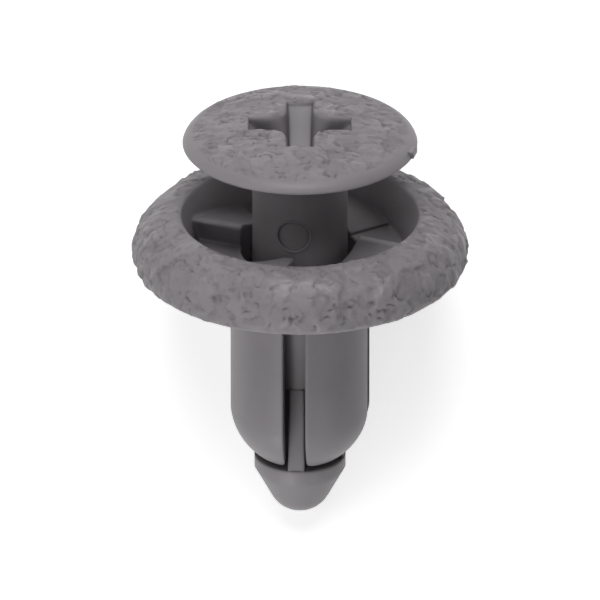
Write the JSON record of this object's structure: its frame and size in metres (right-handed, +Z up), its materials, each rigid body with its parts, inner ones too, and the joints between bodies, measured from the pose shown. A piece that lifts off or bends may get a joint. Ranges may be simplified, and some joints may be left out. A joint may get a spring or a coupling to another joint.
{
  "type": "plastic push rivet",
  "caption": "Plastic push rivet: a domed flange with split legs and cam ramps in its bowl, and a cross-recessed pin shown pulled out.",
  "frame": {"origin": "on the floor, under the middle of the bounding box of the rivet lying on its flange and tip", "axes": "+Z up; +Y from the tip towards the head, level; the rivet's own axis leans 27.6 degrees up from +Y, head end high; +X to the right as seen from above with the head at the top"},
  "size_m": [0.02, 0.0254, 0.0186],
  "materials": {
    "grommet_plastic": "moulded, leather grain on the flange, satin elsewhere",
    "pin_plastic": "moulded, leather grain on the top of the head, satin elsewhere"
  },
  "bodies": {
    "grommet": {"grommet": "grommet_plastic"},
    "pin": {"pin": "pin_plastic"}
  },
  "joints": [
    {"name": "pin_push", "type": "slide", "parent": "grommet", "child": "pin", "axis": [0, -0.8863, -0.4632], "range_m": [0, 0.00475]}
  ]
}
